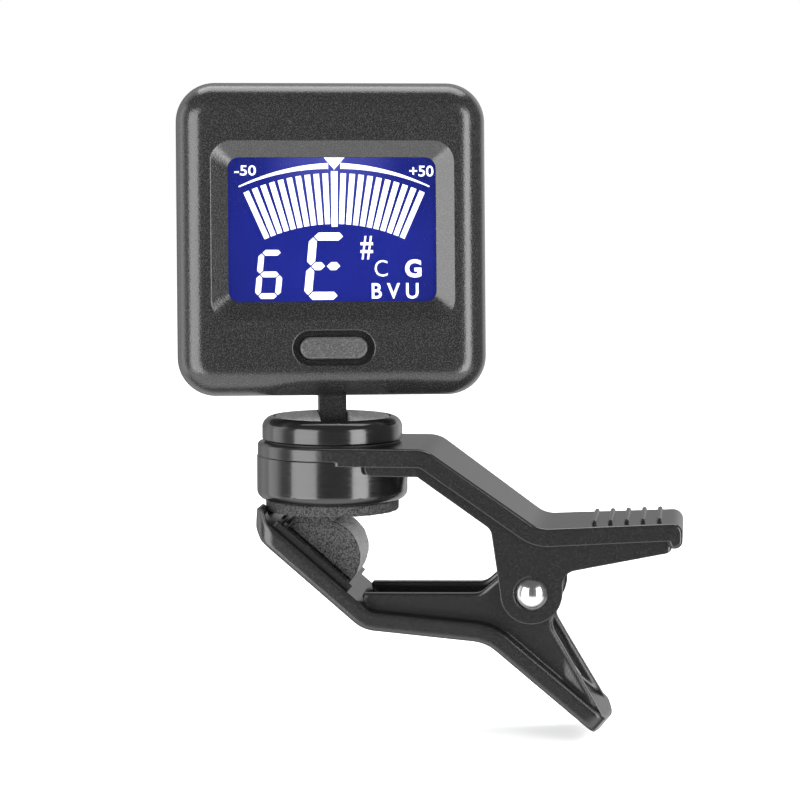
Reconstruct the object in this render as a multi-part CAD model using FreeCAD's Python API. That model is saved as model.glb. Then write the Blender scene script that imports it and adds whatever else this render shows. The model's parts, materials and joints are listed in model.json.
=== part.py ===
import FreeCAD, Part
import math
import os

# Clip-on instrument tuner: a square display head on a tilting neck, a swivel turret,
# and a spring clamp with two padded jaws. Millimetres.
# Origin: centre of the upper pad's contact face, on the swivel axis.
# +Z runs up the swivel axis, +X towards the two finger handles, -Y to the front.

os.makedirs("parts", exist_ok=True)
V = FreeCAD.Vector

# ---------------------------------------------------------------- driving sizes
# Pads and drum under the upper jaw
PAD_R = 8.65
PAD_T = 1.5
DRUM_R = 9.75
DRUM_TOP = 7.2
DRUM_WALL = 1.2
DRUM_EDGE = 1.2

# Upper jaw: a bent plate with two side walls set in from its edges
PLATE_T = 2.3
PLATE_TOP = 8.95
UPPER_BENDS = [(13.07, 8.95, 3.8), (27.25, -1.1, 3.7)]
UPPER_END = (45.2, -0.17)
WALL_INSET = 0.75
WALL_T = 1.4
UPPER_WALL_DEPTH = 3.55
UPPER_WALL_START = 5.3
HANDLE_WALL_END = (43.9, -4.0)
HANDLE_WALL_ROOT = (30.2, -6.75)
DISC_R = 9.65
ARM_PLAN = [(12.0, 9.65, 25.0), (26.5, 7.93, 40.0), (45.2, 7.1)]
ARM_TIP_CORNER = 0.8
PLATE_EDGE_ROUND = 0.45
LIP_DEPTH = 3.3
LIP_BACK = 1.5
EAR_ROOT = (21.15, -1.25)
RIB_COUNT = 5
RIB_FIRST_X = 34.05
RIB_PITCH = 2.04
RIB_R = 0.32
RIB_RAISE = 0.25
RIB_HALF_LENGTH = 5.65

# Jaw hinge
PIVOT_X = 26.27
PIVOT_Z = -9.43
EAR_R = 3.9
PIN_R = 1.25
PIN_CLEARANCE = 0.05
RIVET_HEAD_R = 2.05
RIVET_HEAD_H = 1.15
RIVET_HALF_LENGTH = 7.22

# Lower jaw: a bent plate with two walls that fit between the upper ears
LOWER_START = (-8.25, -3.2)
LOWER_BENDS = [(4.86, -14.37, 4.5), (20.56, -15.74, 5.1)]
LOWER_END = (35.1, -27.9)
LOWER_HALF_WIDTH = 7.6
LOWER_TAIL_HALF_WIDTH = 7.0
LOWER_WALL_OUT = 5.5
TAIL_WALL_OUT = 6.35
LOWER_WALL_T = 1.3
LOWER_WALL_TOP = -10.1
LOWER_EAR_R = 3.65
NOSE_X = -9.0
NOSE_TOP = 0.95
NOSE_ROOT = (-7.45, -0.86)
NOSE_CORNER = 2.4
TAIL_BOW = 1.3
TAIL_CORNER = 1.5
TAIL_BOW_R = 20.0
MOULD_REACH = 60.0
MOULD_MARGIN = 5.0
TAIL_WALL_END = (35.5, -25.5)
SPREAD_START = 4.0
DECK_T = 0.95
DECK_START = 4.6
DECK_END = 17.2
DECK_RIBS = (15.95, 16.75)
DECK_RIB_W = 0.35
DECK_RIB_H = 0.55
DECK_HALF_WIDTH = 6.85
LOWER_PAD_HALF_WIDTH = 4.7
LOWER_PAD_R = 4.72
LOWER_PAD_CENTRE = (-0.45, -5.48)
LOWER_PAD_START = 5.35
LOWER_PAD_END = 15.7
PAD_GAP = 0.15

# Torsion spring
COIL_R = 2.35
WIRE_R = 0.42
COIL_PITCH = 0.92
COIL_FULL_TURNS = 4
COIL_FRONT = -2.2
LEG_GAP = 0.08
LEG_BEND_ANGLE = 70.0
UPPER_LEG_END = (37.6, -3.36)
LOWER_LEG_END = (31.9, -21.6)

# Swivel turret
TURRET_R = 9.05
TURRET_BOTTOM = 9.15
TURRET_WALL_TOP = 10.95
TURRET_RIM_R = 7.7
TURRET_RIM_Z = 12.2
CAP_R = 7.4
CAP_SEAT_Z = 11.45
CAP_DOME = 0.55
CAP_GAP = 0.18
CAP_EDGE = 0.15
HUB_R = 5.0
HUB_BOTTOM = 6.4
SLOT_HALF = 1.9
PLATE_RING_R = 6.4

# Neck and tilt hinge
TILT_Z = 10.4
NECK_W = 3.5
NECK_D = 3.4
BARREL_R = 1.7
TILT_PIN_R = 0.75
TILT_SWING = 25.0
SWIVEL_REST = 11.3
TILT_REST = 5.4

# Display head, in its own frame: x right, y back, z up from the tilt hinge
HEAD_W = 39.7
HEAD_H = 40.1
HEAD_T = 10.4
HEAD_CORNER = 5.0
HEAD_CENTRE = 24.44
FRONT_ROLL = 3.6
REAR_ROLL = 2.5
PARTING_Y = 0.6
CASE_WALL = 1.6
FRONT_WALL = 1.8
REAR_WALL = 1.5
SEAM = 0.15
RECESS_W = 31.1
RECESS_H = 22.9
RECESS_CORNER = 2.6
RECESS_DEPTH = 1.3
WINDOW_W = 26.6
WINDOW_H = 18.45
WINDOW_CORNER = 1.4
WINDOW_UP = 1.1
RECESS_DROP = 0.2
RECESS_LIP = 0.3
GROOVE_LIP = 0.22
BUTTON_UP = -14.05
SLOT_W = 10.3
SLOT_H = 4.35
SLOT_DEPTH = 1.3
BUTTON_W = 8.65
BUTTON_H = 2.85
BUTTON_PROUD = 0.15
BUTTON_TRAVEL = 0.3
BUTTON_GAP = 0.12
GLASS_W = 29.5
GLASS_H = 21.5
GLASS_T = 1.6
BOARD_T = 0.8
BOARD_W = 34.0
CELL_R = 10.0
CELL_T = 3.2
CELL_UP = 3.0
SCREW_AT = 15.3
BOSS_R = 1.9
SCREW_R = 0.78
SCREW_HEAD_R = 1.5
BATTERY_CAP_R = 11.5
BATTERY_CAP_T = 1.1
LUG_COUNT = 3

# Sizes that follow from the ones above
HEAD_FRONT = -HEAD_T / 2
HEAD_BACK = HEAD_T / 2
HEAD_BOTTOM = HEAD_CENTRE - HEAD_H / 2
INNER_FRONT = HEAD_FRONT + FRONT_WALL
INNER_BACK = HEAD_BACK - REAR_WALL
BOARD_BACK = 0.0
BOARD_FRONT = BOARD_BACK - BOARD_T
GLASS_FRONT = INNER_FRONT + 0.05
GLASS_BACK = GLASS_FRONT + GLASS_T
WINDOW_Z = HEAD_CENTRE + WINDOW_UP
BUTTON_Z = HEAD_CENTRE + BUTTON_UP
CELL_Z = HEAD_CENTRE + CELL_UP
CELL_FRONT = 0.3
CELL_BACK = CELL_FRONT + CELL_T


# ---------------------------------------------------------------- drawing helpers
def save(name, shape):
    solids = shape.Solids
    body = solids[0] if len(solids) == 1 else shape
    if not body.isValid() or len(solids) != 1:
        print("CHECK", name, "valid", body.isValid(), "solids", len(solids))
    body.exportStep("parts/" + name + ".step")


def corner_arc(before, corner, after, radius):
    """Tangent points and middle of the arc that rounds a corner."""
    to_before = (before - corner).normalize()
    to_after = (after - corner).normalize()
    half = to_before.getAngle(to_after) / 2
    reach = radius / math.tan(half)
    bisector = (to_before + to_after).normalize()
    centre = corner + bisector * (radius / math.sin(half))
    middle = centre - bisector * radius
    return corner + to_before * reach, middle, corner + to_after * reach


def rounded_wire(corners, place):
    """Closed wire through (u, v) or (u, v, radius) corners, drawn by place(u, v)."""
    points = [place(c[0], c[1]) for c in corners]
    radii = [c[2] if len(c) > 2 else 0 for c in corners]
    count = len(points)
    joints = []
    for i in range(count):
        if radii[i] > 0:
            before = points[i - 1]
            after = points[(i + 1) % count]
            joints.append(corner_arc(before, points[i], after, radii[i]))
        else:
            joints.append((points[i], None, points[i]))
    edges = []
    for i in range(count):
        start, middle, end = joints[i]
        if middle is not None:
            edges.append(Part.Arc(start, middle, end).toShape())
        following = joints[(i + 1) % count][0]
        if (following - end).Length > 1e-6:
            edges.append(Part.LineSegment(end, following).toShape())
    return Part.Wire(edges)


def side_prism(corners, half_width):
    """Outline in the XZ plane, extruded equally to both sides of it."""
    wire = rounded_wire(corners, lambda x, z: V(x, -half_width, z))
    return Part.Face(wire).extrude(V(0, 2 * half_width, 0))


def plan_prism(corners, low, high):
    """Outline in the XY plane, extruded from low to high."""
    wire = rounded_wire(corners, lambda x, y: V(x, y, low))
    return Part.Face(wire).extrude(V(0, 0, high - low))


def face_outline(width, height, radius, centre_z, y):
    """Round-cornered rectangle facing -Y, as a closed wire."""
    right = width / 2
    top = centre_z + height / 2
    low = centre_z - height / 2
    outline = [(-right, low, radius), (right, low, radius), (right, top, radius), (-right, top, radius)]
    return rounded_wire(outline, lambda x, z: V(x, y, z))


def face_prism(width, height, radius, centre_z, front, back):
    """Round-cornered rectangle facing -Y, extruded from front to back."""
    wire = face_outline(width, height, radius, centre_z, front)
    return Part.Face(wire).extrude(V(0, back - front, 0))


def disc(radius, low, high):
    return Part.makeCylinder(radius, high - low, V(0, 0, low))


def ring(inner, outer, low, high):
    return disc(outer, low, high).cut(disc(inner, low - 1, high + 1))


def cross_rod(radius, half_length, x, z):
    """Cylinder along Y, centred on the middle plane."""
    return Part.makeCylinder(radius, 2 * half_length, V(x, -half_length, z), V(0, 1, 0))


def back_rod(radius, front, back, x, z):
    """Cylinder along Y from front to back."""
    return Part.makeCylinder(radius, back - front, V(x, front, z), V(0, 1, 0))


def bar(x0, x1, y0, y1, z0, z1):
    return Part.makeBox(x1 - x0, y1 - y0, z1 - z0, V(x0, y0, z0))


def spun(profile):
    """Solid of revolution about Z from a closed (r, z) outline."""
    wire = rounded_wire(profile, lambda r, z: V(r, 0, z))
    return Part.Face(wire).revolve(V(0, 0, 0), V(0, 0, 1), 360)


def fuse_all(shapes):
    body = shapes[0].multiFuse(shapes[1:])
    return body.removeSplitter()


def rounded_edges(shape, radius, wanted):
    """Fillet the edges that wanted() picks, one group at a time."""
    edges = [e for e in shape.Edges if wanted(e)]
    if not edges:
        print("CHECK no edges to round")
        return shape
    return shape.makeFillet(radius, edges)


def bent_path(corners):
    """Open line in the XZ plane with its bends rounded."""
    points = [V(c[0], 0, c[1]) for c in corners]
    radii = [c[2] if len(c) > 2 else 0 for c in corners]
    edges = []
    last = points[0]
    for i in range(1, len(points)):
        if i < len(points) - 1 and radii[i] > 0:
            start, middle, end = corner_arc(points[i - 1], points[i], points[i + 1], radii[i])
            edges.append(Part.makeLine(last, start))
            edges.append(Part.Arc(start, middle, end).toShape())
            last = end
        else:
            edges.append(Part.makeLine(last, points[i]))
            last = points[i]
    return Part.Wire(edges)


def along_path(path, first_x, last_x):
    """Picks side edges of a bent plate that follow a path when seen from the side."""
    def wanted(edge):
        span = edge.LastParameter - edge.FirstParameter
        for t in (0.02, 0.25, 0.5, 0.75, 0.98):
            p = edge.valueAt(edge.FirstParameter + t * span)
            if p.x < first_x or p.x > last_x:
                return False
            if path.distToShape(Part.Vertex(p.x, 0, p.z))[0] > 0.03:
                return False
        heading = edge.tangentAt(edge.FirstParameter + span / 2)
        return abs(heading.y) < 0.9 or edge.CenterOfMass.x < 0
    return wanted


def offset_line(corners, distance):
    """Corners of the line that runs a distance to the right of a bent line."""
    shifted = []
    for a, b in zip(corners, corners[1:]):
        length = math.hypot(b[0] - a[0], b[1] - a[1])
        right_x = (b[1] - a[1]) / length
        right_z = -(b[0] - a[0]) / length
        shifted.append((a[0] + right_x * distance, a[1] + right_z * distance, b[0] - a[0], b[1] - a[1]))
    first = shifted[0]
    points = [(first[0], first[1])]
    for one, two in zip(shifted, shifted[1:]):
        cross = one[2] * two[3] - one[3] * two[2]
        t = ((two[0] - one[0]) * two[3] - (two[1] - one[1]) * two[2]) / cross
        points.append((one[0] + one[2] * t, one[1] + one[3] * t))
    last = shifted[-1]
    points.append((last[0] + last[2], last[1] + last[3]))
    return points


# ---------------------------------------------------------------- upper jaw
def half_width_at(x):
    for (x0, w0, *_), (x1, w1, *_) in zip(ARM_PLAN, ARM_PLAN[1:]):
        if x <= x1:
            return w0 + (w1 - w0) * (x - x0) / (x1 - x0)
    return ARM_PLAN[-1][1]


def arm_plan(inset, start, end, corner):
    """Plan of the arm between two stations, narrower by inset on each side."""
    front = [(start, inset - half_width_at(max(start, ARM_PLAN[0][0])))]
    front += [(x, inset - w, bend) for x, w, bend in ARM_PLAN[:-1] if start < x < end]
    tip = half_width_at(end) - inset
    back = [(x, -y) + tuple(bend) for x, y, *bend in reversed(front)]
    return front + [(end, -tip, corner), (end, tip, corner)] + back


def upper_line(distance):
    """Top line of the plate, moved down by a distance square to itself."""
    start = (-DISC_R - 1, PLATE_TOP)
    line = [start] + [(x, z) for x, z, r in UPPER_BENDS] + [UPPER_END]
    points = offset_line(line, distance)
    outer_bend = max(UPPER_BENDS[0][2] - distance, 0.4)
    inner_bend = UPPER_BENDS[1][2] + distance
    return [points[0], points[1] + (outer_bend,), points[2] + (inner_bend,), points[3]]


def upper_plate():
    """Bent plate: round over the drum, tapering back to a turned-down handle lip."""
    top = upper_line(0)
    under = upper_line(PLATE_T)
    end_x, end_z = UPPER_END
    lip_z = end_z - LIP_DEPTH
    lip = [(end_x, end_z, 1.3), (end_x, lip_z, 1.0), (end_x - LIP_BACK, lip_z, 0.4)]
    lip.append((end_x - LIP_BACK - 0.4, under[3][1]))
    outline = top[:3] + lip + [under[2], under[1], under[0]]
    profile = side_prism(outline, DRUM_R + 1)
    plan = plan_prism(arm_plan(0, 0, end_x + 1, 0), -5, 12)
    blank = profile.common(plan.fuse(disc(DISC_R, -5, 12)).removeSplitter())
    rim = bent_path(top[:3] + lip[:3])
    return rounded_edges(blank, PLATE_EDGE_ROUND, along_path(rim, -DISC_R - 1, end_x + 1))


def upper_side_walls():
    inside = upper_line(PLATE_T / 2)
    lower = upper_line(UPPER_WALL_DEPTH)
    outline = [(UPPER_WALL_START, inside[0][1]), (UPPER_WALL_START, lower[0][1], 0.9)]
    outline += [lower[1], EAR_ROOT + (1.6,), (PIVOT_X - EAR_R, PIVOT_Z)]
    outline += [(PIVOT_X + EAR_R, PIVOT_Z), HANDLE_WALL_ROOT + (1.9,), HANDLE_WALL_END + (1.0,)]
    outline += [(HANDLE_WALL_END[0], inside[3][1] - 0.1), inside[2], inside[1]]
    profile = side_prism(outline, DRUM_R + 1)
    ears = cross_rod(EAR_R, DRUM_R + 1, PIVOT_X, PIVOT_Z)
    walls = profile.fuse(ears)
    wall_plan = arm_plan(WALL_INSET, UPPER_WALL_START - 1, HANDLE_WALL_END[0] + 0.05, ARM_TIP_CORNER)
    outer = plan_prism(wall_plan, -20, 10)
    hollow_plan = arm_plan(WALL_INSET + WALL_T, -1, HANDLE_WALL_END[0] - 1.1, 0.5)
    hollow = plan_prism(hollow_plan, -20, 10)
    return walls.common(outer).cut(hollow)


def handle_ribs():
    top_slope = (UPPER_END[1] - UPPER_BENDS[1][1]) / (UPPER_END[0] - UPPER_BENDS[1][0])
    ribs = []
    for i in range(RIB_COUNT):
        x = RIB_FIRST_X + i * RIB_PITCH
        z = UPPER_END[1] + (x - UPPER_END[0]) * top_slope + RIB_RAISE
        rib = cross_rod(RIB_R, RIB_HALF_LENGTH, x, z)
        root = bar(x - RIB_R * 0.8, x + RIB_R * 0.8, -RIB_HALF_LENGTH, RIB_HALF_LENGTH, z - 0.6, z)
        ribs += [rib, root]
    return ribs


def upper_jaw():
    body = fuse_all([upper_plate(), upper_side_walls()])
    body = body.cut(disc(DRUM_R + 0.01, -2, DRUM_TOP))
    body = body.cut(disc(HUB_R + PIN_CLEARANCE, 0, 12))
    body = body.cut(cross_rod(PIN_R, 12, PIVOT_X, PIVOT_Z))
    seats = cross_rod(RIVET_HEAD_R + 0.15, 12, PIVOT_X, PIVOT_Z)
    seats = seats.cut(cross_rod(RIVET_HEAD_R + 1, RIVET_HALF_LENGTH, PIVOT_X, PIVOT_Z))
    return fuse_all([body.cut(seats)] + handle_ribs())


# ---------------------------------------------------------------- drum and pads
def pad_drum():
    shell = spun([(0, PAD_T), (DRUM_R, PAD_T, DRUM_EDGE), (DRUM_R, DRUM_TOP, 0.15), (0, DRUM_TOP)])
    hollow = disc(DRUM_R - DRUM_WALL, PAD_T + DRUM_WALL, DRUM_TOP + 1)
    return shell.cut(hollow)


def upper_pad():
    return spun([(0, 0), (PAD_R, 0, 0.25), (PAD_R, PAD_T, 0.1), (0, PAD_T)])


# ---------------------------------------------------------------- swivel turret
def in_swivel(shape):
    """Turn a shape from the turret's own frame to its rest angle."""
    placed = shape.copy()
    placed.rotate(V(0, 0, 0), V(0, 0, 1), SWIVEL_REST)
    return placed


def neck_pocket():
    """Room for the barrel and for the neck's swing, open at the top."""
    room = BARREL_R + 0.2
    swing = math.radians(TILT_SWING + 3)
    rise = CAP_SEAT_Z + 2 - TILT_Z
    top = room / math.cos(swing) + rise * math.tan(swing)
    outline = [(-room, TILT_Z - room, 1.0), (room, TILT_Z - room, 1.0), (room, TILT_Z)]
    outline += [(top, TILT_Z + rise), (-top, TILT_Z + rise), (-room, TILT_Z)]
    wire = rounded_wire(outline, lambda y, z: V(-SLOT_HALF, y, z))
    return Part.Face(wire).extrude(V(2 * SLOT_HALF, 0, 0))


def top_slot():
    reach = TURRET_RIM_R - 0.9
    return bar(-SLOT_HALF, SLOT_HALF, -reach, reach, 11.0, TURRET_RIM_Z + 2)


def swivel_collar():
    wall_top = V(TURRET_R, 0, TURRET_WALL_TOP)
    rim = V(TURRET_RIM_R, 0, TURRET_RIM_Z)
    shoulder = Part.Arc(wall_top, V(8.63, 0, 11.77), rim).toShape()
    seat_r = CAP_R + CAP_GAP
    points = [rim, V(seat_r, 0, TURRET_RIM_Z), V(seat_r, 0, CAP_SEAT_Z), V(0, 0, CAP_SEAT_Z)]
    points += [V(0, 0, HUB_BOTTOM), V(HUB_R, 0, HUB_BOTTOM), V(HUB_R, 0, TURRET_BOTTOM)]
    points += [V(TURRET_R - 0.2, 0, TURRET_BOTTOM), V(TURRET_R, 0, TURRET_BOTTOM + 0.2), wall_top]
    edges = [shoulder] + [Part.makeLine(a, b) for a, b in zip(points, points[1:])]
    body = Part.Face(Part.Wire(edges)).revolve(V(0, 0, 0), V(0, 0, 1), 360)
    body = body.cut(neck_pocket()).cut(top_slot())
    saddle = Part.makeCylinder(TILT_PIN_R + 0.01, 11.04, V(-5.52, 0, TILT_Z), V(1, 0, 0))
    mouth = bar(-5.52, 5.52, -TILT_PIN_R - 0.01, TILT_PIN_R + 0.01, TILT_Z, CAP_SEAT_Z + 1)
    body = body.cut(saddle).cut(mouth)
    screw_hole = disc(1.02, HUB_BOTTOM - 1, 8.0)
    return body.cut(screw_hole)


def cap_rim(edge):
    """Picks the upper rim of the domed cover."""
    return all(v.Z > TURRET_RIM_Z - 0.01 and math.hypot(v.X, v.Y) > CAP_R - 0.01 for v in edge.Vertexes)


def collar_cap(side):
    """Half-moon cover on one side of the neck's slot, slightly domed."""
    sphere_r = (CAP_R ** 2 + CAP_DOME ** 2) / (2 * CAP_DOME)
    dome = Part.makeSphere(sphere_r, V(0, 0, TURRET_RIM_Z + CAP_DOME - sphere_r))
    blank = disc(CAP_R, CAP_SEAT_Z, TURRET_RIM_Z + CAP_DOME + 0.1).common(dome)
    blank = rounded_edges(blank, CAP_EDGE, cap_rim)
    half = bar(SLOT_HALF, CAP_R + 1, -CAP_R - 1, CAP_R + 1, CAP_SEAT_Z - 1, TURRET_RIM_Z + 2)
    if side < 0:
        half = half.mirror(V(0, 0, 0), V(1, 0, 0))
    return blank.common(half)


def friction_washer():
    return ring(HUB_R + 0.3, TURRET_R - 0.6, PLATE_TOP, TURRET_BOTTOM - 0.02)


def wave_washer():
    """Split spring ring between the retaining plate and the jaw."""
    body = ring(HUB_R + 0.25, PLATE_RING_R - 0.1, HUB_BOTTOM + 0.05, DRUM_TOP - 0.05)
    return body.cut(bar(4, 8, -0.4, 0.4, HUB_BOTTOM - 1, DRUM_TOP + 1))


def retaining_plate():
    return ring(1.05, PLATE_RING_R, HUB_BOTTOM - 0.9, HUB_BOTTOM)


def retaining_screw():
    low = HUB_BOTTOM - 0.9
    head = disc(1.9, low - 1.1, low)
    drive = bar(-1.3, 1.3, -0.2, 0.2, low - 1.2, low - 0.6)
    cross = bar(-0.2, 0.2, -1.3, 1.3, low - 1.2, low - 0.6)
    return fuse_all([head, disc(1.0, low, 7.9)]).cut(drive).cut(cross)


def tilt_pin():
    return Part.makeCylinder(TILT_PIN_R, 11.0, V(-5.5, 0, TILT_Z), V(1, 0, 0))


# ---------------------------------------------------------------- head frame
def in_head(shape):
    """Place a shape from the head's own frame: tilted back, then swivelled."""
    placed = shape.copy()
    placed.rotate(V(0, 0, 0), V(1, 0, 0), -TILT_REST)
    placed.translate(V(0, 0, TILT_Z))
    placed.rotate(V(0, 0, 0), V(0, 0, 1), SWIVEL_REST)
    return placed


def case_block(front, back, inset):
    width = HEAD_W - 2 * inset
    height = HEAD_H - 2 * inset
    return face_prism(width, height, HEAD_CORNER - inset, HEAD_CENTRE, front, back)


def rim_at(y):
    """Picks the edges that lie in the plane at one depth."""
    def wanted(edge):
        return all(abs(v.Y - y) < 1e-4 for v in edge.Vertexes)
    return wanted


def front_lip(half_width, centre_z, half_height):
    """Picks the edges in the head's front plane inside one rectangle."""
    def wanted(edge):
        inside = [abs(v.X) < half_width and abs(v.Z - centre_z) < half_height for v in edge.Vertexes]
        return all(inside) and all(abs(v.Y - HEAD_FRONT) < 1e-4 for v in edge.Vertexes)
    return wanted


def screw_places():
    return [(sx * SCREW_AT, HEAD_CENTRE + sz * SCREW_AT) for sx in (-1, 1) for sz in (-1, 1)]


def neck_notch():
    half_w = NECK_W / 2
    half_d = NECK_D / 2
    return bar(-half_w, half_w, -half_d, half_d, HEAD_BOTTOM - 1, HEAD_BOTTOM + CASE_WALL + 0.01)


def stadium(width, height, centre_z, front, back):
    """Slot shape with full-round ends, facing -Y."""
    reach = (width - height) / 2
    radius = height / 2
    middle = bar(-reach, reach, front, back, centre_z - radius, centre_z + radius)
    left = back_rod(radius, front, back, -reach, centre_z)
    right = back_rod(radius, front, back, reach, centre_z)
    return fuse_all([middle, left, right])


def display_recess():
    """Sloping recess that runs down to the window opening."""
    lip = face_outline(RECESS_W, RECESS_H, RECESS_CORNER, WINDOW_Z - RECESS_DROP, HEAD_FRONT)
    foot = face_outline(WINDOW_W, WINDOW_H, WINDOW_CORNER, WINDOW_Z, HEAD_FRONT + RECESS_DEPTH)
    return Part.makeLoft([lip, foot], True, True)


def front_case():
    shell = case_block(HEAD_FRONT, PARTING_Y, 0)
    shell = rounded_edges(shell, FRONT_ROLL, rim_at(HEAD_FRONT))
    shell = rounded_edges(shell, SEAM, rim_at(PARTING_Y))
    shell = shell.cut(case_block(INNER_FRONT, PARTING_Y + 1, CASE_WALL))
    bosses = [back_rod(BOSS_R, INNER_FRONT - 0.2, PARTING_Y, x, z) for x, z in screw_places()]
    shell = fuse_all([shell] + bosses)
    for x, z in screw_places():
        shell = shell.cut(back_rod(SCREW_R + 0.02, INNER_FRONT + 0.8, PARTING_Y + 1, x, z))
    shell = shell.cut(display_recess())
    shell = rounded_edges(shell, RECESS_LIP, front_lip(RECESS_W / 2 + 0.1, WINDOW_Z, RECESS_H / 2 + 1))
    opening = face_prism(WINDOW_W, WINDOW_H, WINDOW_CORNER, WINDOW_Z, HEAD_FRONT, INNER_FRONT + 1)
    shell = shell.cut(opening)
    groove = stadium(SLOT_W, SLOT_H, BUTTON_Z, HEAD_FRONT - 1, HEAD_FRONT + SLOT_DEPTH)
    hole_w = BUTTON_W + 2 * BUTTON_GAP
    hole_h = BUTTON_H + 2 * BUTTON_GAP
    hole = stadium(hole_w, hole_h, BUTTON_Z, HEAD_FRONT, INNER_FRONT + 1)
    shell = shell.cut(groove)
    shell = rounded_edges(shell, GROOVE_LIP, front_lip(SLOT_W / 2 + 0.1, BUTTON_Z, SLOT_H / 2 + 0.1))
    return shell.cut(hole).cut(neck_notch())


def rear_case():
    shell = case_block(PARTING_Y, HEAD_BACK, 0)
    shell = rounded_edges(shell, REAR_ROLL, rim_at(HEAD_BACK))
    shell = rounded_edges(shell, SEAM, rim_at(PARTING_Y))
    shell = shell.cut(case_block(PARTING_Y - 1, INNER_BACK, CASE_WALL))
    bosses = [back_rod(BOSS_R, PARTING_Y, INNER_BACK + 0.2, x, z) for x, z in screw_places()]
    shell = fuse_all([shell] + bosses)
    for x, z in screw_places():
        shell = shell.cut(back_rod(SCREW_R + 0.07, PARTING_Y - 1, HEAD_BACK + 1, x, z))
        shell = shell.cut(back_rod(SCREW_HEAD_R + 0.1, HEAD_BACK - 1.0, HEAD_BACK + 1, x, z))
    flange_seat = HEAD_BACK - BATTERY_CAP_T
    shell = shell.cut(back_rod(BATTERY_CAP_R + 0.1, flange_seat, HEAD_BACK + 1, 0, CELL_Z))
    shell = shell.cut(back_rod(CELL_R + 0.7, INNER_BACK - 1, flange_seat + 1, 0, CELL_Z))
    for i in range(LUG_COUNT):
        shell = shell.cut(lug_sector(i * 120 + 45, 17, CELL_R + 1.75, INNER_BACK - 1, flange_seat + 0.01))
    return shell.cut(neck_notch())


def lug_sector(middle, half_angle, radius, front, back):
    """Wedge of a disc about the battery axis, centred on one direction."""
    wedge = Part.makeCylinder(radius, back - front, V(0, 0, 0), V(0, 0, 1), 2 * half_angle)
    wedge.rotate(V(0, 0, 0), V(0, 0, 1), middle - half_angle)
    wedge.rotate(V(0, 0, 0), V(1, 0, 0), -90)
    wedge.translate(V(0, front, CELL_Z))
    return wedge


def battery_cap():
    """Coin-slotted cover with three bayonet lugs."""
    flange_seat = HEAD_BACK - BATTERY_CAP_T
    flange = back_rod(BATTERY_CAP_R, flange_seat + 0.02, HEAD_BACK, 0, CELL_Z)
    flange = rounded_edges(flange, 0.25, rim_at(HEAD_BACK))
    plug = back_rod(CELL_R + 0.6, CELL_BACK + 0.1, flange_seat + 0.1, 0, CELL_Z)
    skirt = back_rod(CELL_R + 0.6, CELL_BACK - 0.2, CELL_BACK + 0.2, 0, CELL_Z)
    skirt = skirt.cut(back_rod(CELL_R + 0.2, CELL_BACK - 1, CELL_BACK + 1, 0, CELL_Z))
    lugs = []
    for i in range(LUG_COUNT):
        sector = lug_sector(i * 120, 13, CELL_R + 1.55, CELL_BACK - 0.2, INNER_BACK - 0.05)
        lugs.append(sector.cut(back_rod(CELL_R + 0.3, CELL_BACK - 1, CELL_BACK + 1, 0, CELL_Z)))
    body = fuse_all([flange, plug, skirt] + lugs)
    coin_slot = stadium(13.0, 1.8, CELL_Z, HEAD_BACK - 0.8, HEAD_BACK + 1)
    return body.cut(coin_slot)


def neck_stem():
    half_w = NECK_W / 2
    half_d = NECK_D / 2
    root_low = HEAD_BOTTOM + CASE_WALL
    post = bar(-half_w, half_w, -half_d, half_d, 0, root_low + 0.5)
    barrel = Part.makeCylinder(BARREL_R, NECK_W, V(-half_w, 0, 0), V(1, 0, 0))
    root = bar(-4.0, 4.0, -half_d, half_d, root_low, root_low + 2.15)
    body = fuse_all([post, barrel, root])
    bore = Part.makeCylinder(TILT_PIN_R + PIN_CLEARANCE, NECK_W + 2, V(-half_w - 1, 0, 0), V(1, 0, 0))
    return body.cut(bore)


def display_window():
    return face_prism(WINDOW_W, WINDOW_H, WINDOW_CORNER, WINDOW_Z, HEAD_FRONT + RECESS_DEPTH, INNER_FRONT)


def display_glass():
    return face_prism(GLASS_W, GLASS_H, 0.4, WINDOW_Z, GLASS_FRONT, GLASS_BACK)


def backlight():
    return face_prism(GLASS_W - 2, GLASS_H - 5, 0.5, WINDOW_Z, GLASS_BACK, BOARD_FRONT - 0.05)


def contact_strip(side):
    middle = WINDOW_Z + side * (GLASS_H / 2 - 1.1)
    return face_prism(GLASS_W - 3, 1.6, 0.2, middle, GLASS_BACK, BOARD_FRONT)


def circuit_board():
    low = HEAD_CENTRE - 16.0
    high = HEAD_CENTRE + 17.9
    board = face_prism(BOARD_W, high - low, 1.0, (low + high) / 2, BOARD_FRONT, BOARD_BACK)
    for x, z in screw_places():
        board = board.cut(back_rod(BOSS_R + 0.3, BOARD_FRONT - 1, BOARD_BACK + 1, x, z))
    return board


def tact_switch():
    body = face_prism(4.5, 3.3, 0.3, BUTTON_Z, BOARD_FRONT - 1.3, BOARD_FRONT)
    actuator = back_rod(0.9, BOARD_FRONT - 1.75, BOARD_FRONT - 1.2, 0, BUTTON_Z)
    return fuse_all([body, actuator])


def button_cap():
    top = HEAD_FRONT - BUTTON_PROUD
    cap = stadium(BUTTON_W, BUTTON_H, BUTTON_Z, top, INNER_FRONT + 0.1)
    cap = rounded_edges(cap, 0.35, rim_at(top))
    flange = stadium(BUTTON_W + 1, BUTTON_H + 1, BUTTON_Z, INNER_FRONT + 0.04, INNER_FRONT + 0.4)
    plunger = back_rod(0.8, INNER_FRONT + 0.3, BOARD_FRONT - 1.75 - BUTTON_TRAVEL - 0.05, 0, BUTTON_Z)
    return fuse_all([cap, flange, plunger])


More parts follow.
